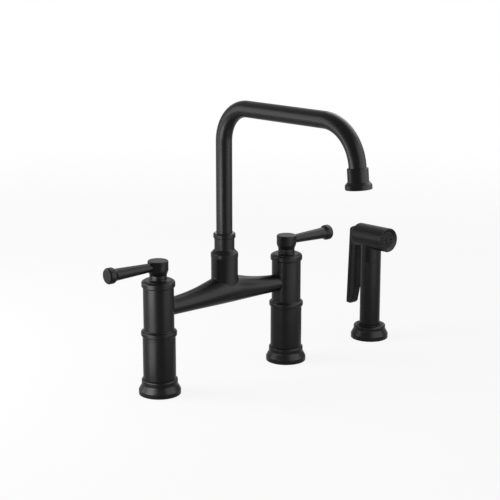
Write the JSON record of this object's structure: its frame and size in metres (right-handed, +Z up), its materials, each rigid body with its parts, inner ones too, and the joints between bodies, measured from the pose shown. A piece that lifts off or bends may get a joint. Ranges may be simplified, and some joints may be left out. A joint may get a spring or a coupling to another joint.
{
  "type": "bridge kitchen faucet",
  "caption": "Deck-mounted bridge faucet: handle columns joined by a swelling bridge, a tall squared swivel spout, and a side spray with a rear thumb lever in its own holder.",
  "frame": {"origin": "on the deck, midway between the axes of the two handle columns", "axes": "+X along the bridge to the right, towards the side spray; -Y towards the user, the way the spout reaches; +Z up"},
  "size_m": [0.4546, 0.285, 0.4166],
  "materials": {
    "matte_black": "matte",
    "black_plastic": "satin",
    "white_plastic": "satin",
    "ceramic": "polished",
    "seal_rubber": "matte",
    "steel": "satin",
    "brass": "machined"
  },
  "bodies": {
    "faucet": {"base_gaskets": "seal_rubber", "bridge_body": "matte_black", "deck_washers": "steel", "left_base_flange": "matte_black", "left_bead_ring": "matte_black", "left_cartridge": "brass", "left_fixed_disc": "ceramic", "left_inlet_shank": "brass", "left_lower_sleeve": "matte_black", "left_rim_cap": "matte_black", "left_valve_body": "matte_black", "mounting_nuts": "brass", "right_base_flange": "matte_black", "right_bead_ring": "matte_black", "right_cartridge": "brass", "right_fixed_disc": "ceramic", "right_inlet_shank": "brass", "right_lower_sleeve": "matte_black", "right_rim_cap": "matte_black", "right_valve_body": "matte_black", "spout_bush": "white_plastic", "spout_collar": "matte_black", "spray_base": "matte_black", "spray_gasket": "seal_rubber", "spray_liner": "black_plastic", "spray_nut": "brass", "spray_shank": "brass", "spray_washer": "steel", "valve_seals": "seal_rubber"},
    "left_handle": {"left_stem": "brass", "left_moving_disc": "ceramic", "left_hub": "matte_black", "left_lever": "matte_black", "left_set_screw": "steel", "left_index_button": "matte_black"},
    "right_handle": {"right_stem": "brass", "right_moving_disc": "ceramic", "right_hub": "matte_black", "right_lever": "matte_black", "right_set_screw": "steel", "right_index_button": "matte_black"},
    "spout": {"spout_tube": "matte_black", "spout_stub": "brass", "spout_o_rings": "seal_rubber", "thrust_washer": "white_plastic", "outlet_collar": "matte_black", "outlet_gasket": "seal_rubber", "aerator_housing": "white_plastic", "aerator_screen": "steel"},
    "spray": {"spray_grip": "matte_black", "spray_head": "matte_black", "nozzle_ring": "matte_black", "spray_plate": "black_plastic", "hose_inlet": "brass", "thumb_pin": "steel", "plunger_spring": "steel"},
    "trigger": {"spray_lever": "matte_black"},
    "plunger": {"valve_plunger": "brass"}
  },
  "joints": [
    {"name": "left_handle_turn", "type": "hinge", "parent": "faucet", "child": "left_handle", "pos_m": [-0.1016, 0, 0.1597], "axis": [0, 0, 1], "range_deg": [0, 90]},
    {"name": "right_handle_turn", "type": "hinge", "parent": "faucet", "child": "right_handle", "pos_m": [0.1016, 0, 0.1597], "axis": [0, 0, 1], "range_deg": [-90, 0]},
    {"name": "spout_swivel", "type": "hinge", "parent": "faucet", "child": "spout", "pos_m": [0, 0, 0.147], "axis": [0, 0, 1], "continuous": true},
    {"name": "spray_lift", "type": "slide", "parent": "faucet", "child": "spray", "axis": [0, 0, 1], "range_m": [0, 0.5]},
    {"name": "trigger_squeeze", "type": "hinge", "parent": "spray", "child": "trigger", "pos_m": [0.2533, 0.029, 0.1425], "axis": [-1, 0, 0], "range_deg": [0, 5], "stiffness_Nm_per_rad": 2, "springref_deg": -5.73},
    {"name": "plunger_push", "type": "slide", "parent": "spray", "child": "plunger", "axis": [0, -0.9993, 0.0366], "range_m": [0, 0.0009], "deforming": ["plunger_spring"]}
  ],
  "couplings": [
    {"joint": "plunger_push", "follows": "trigger_squeeze", "m_per_rad": 0.0095}
  ]
}
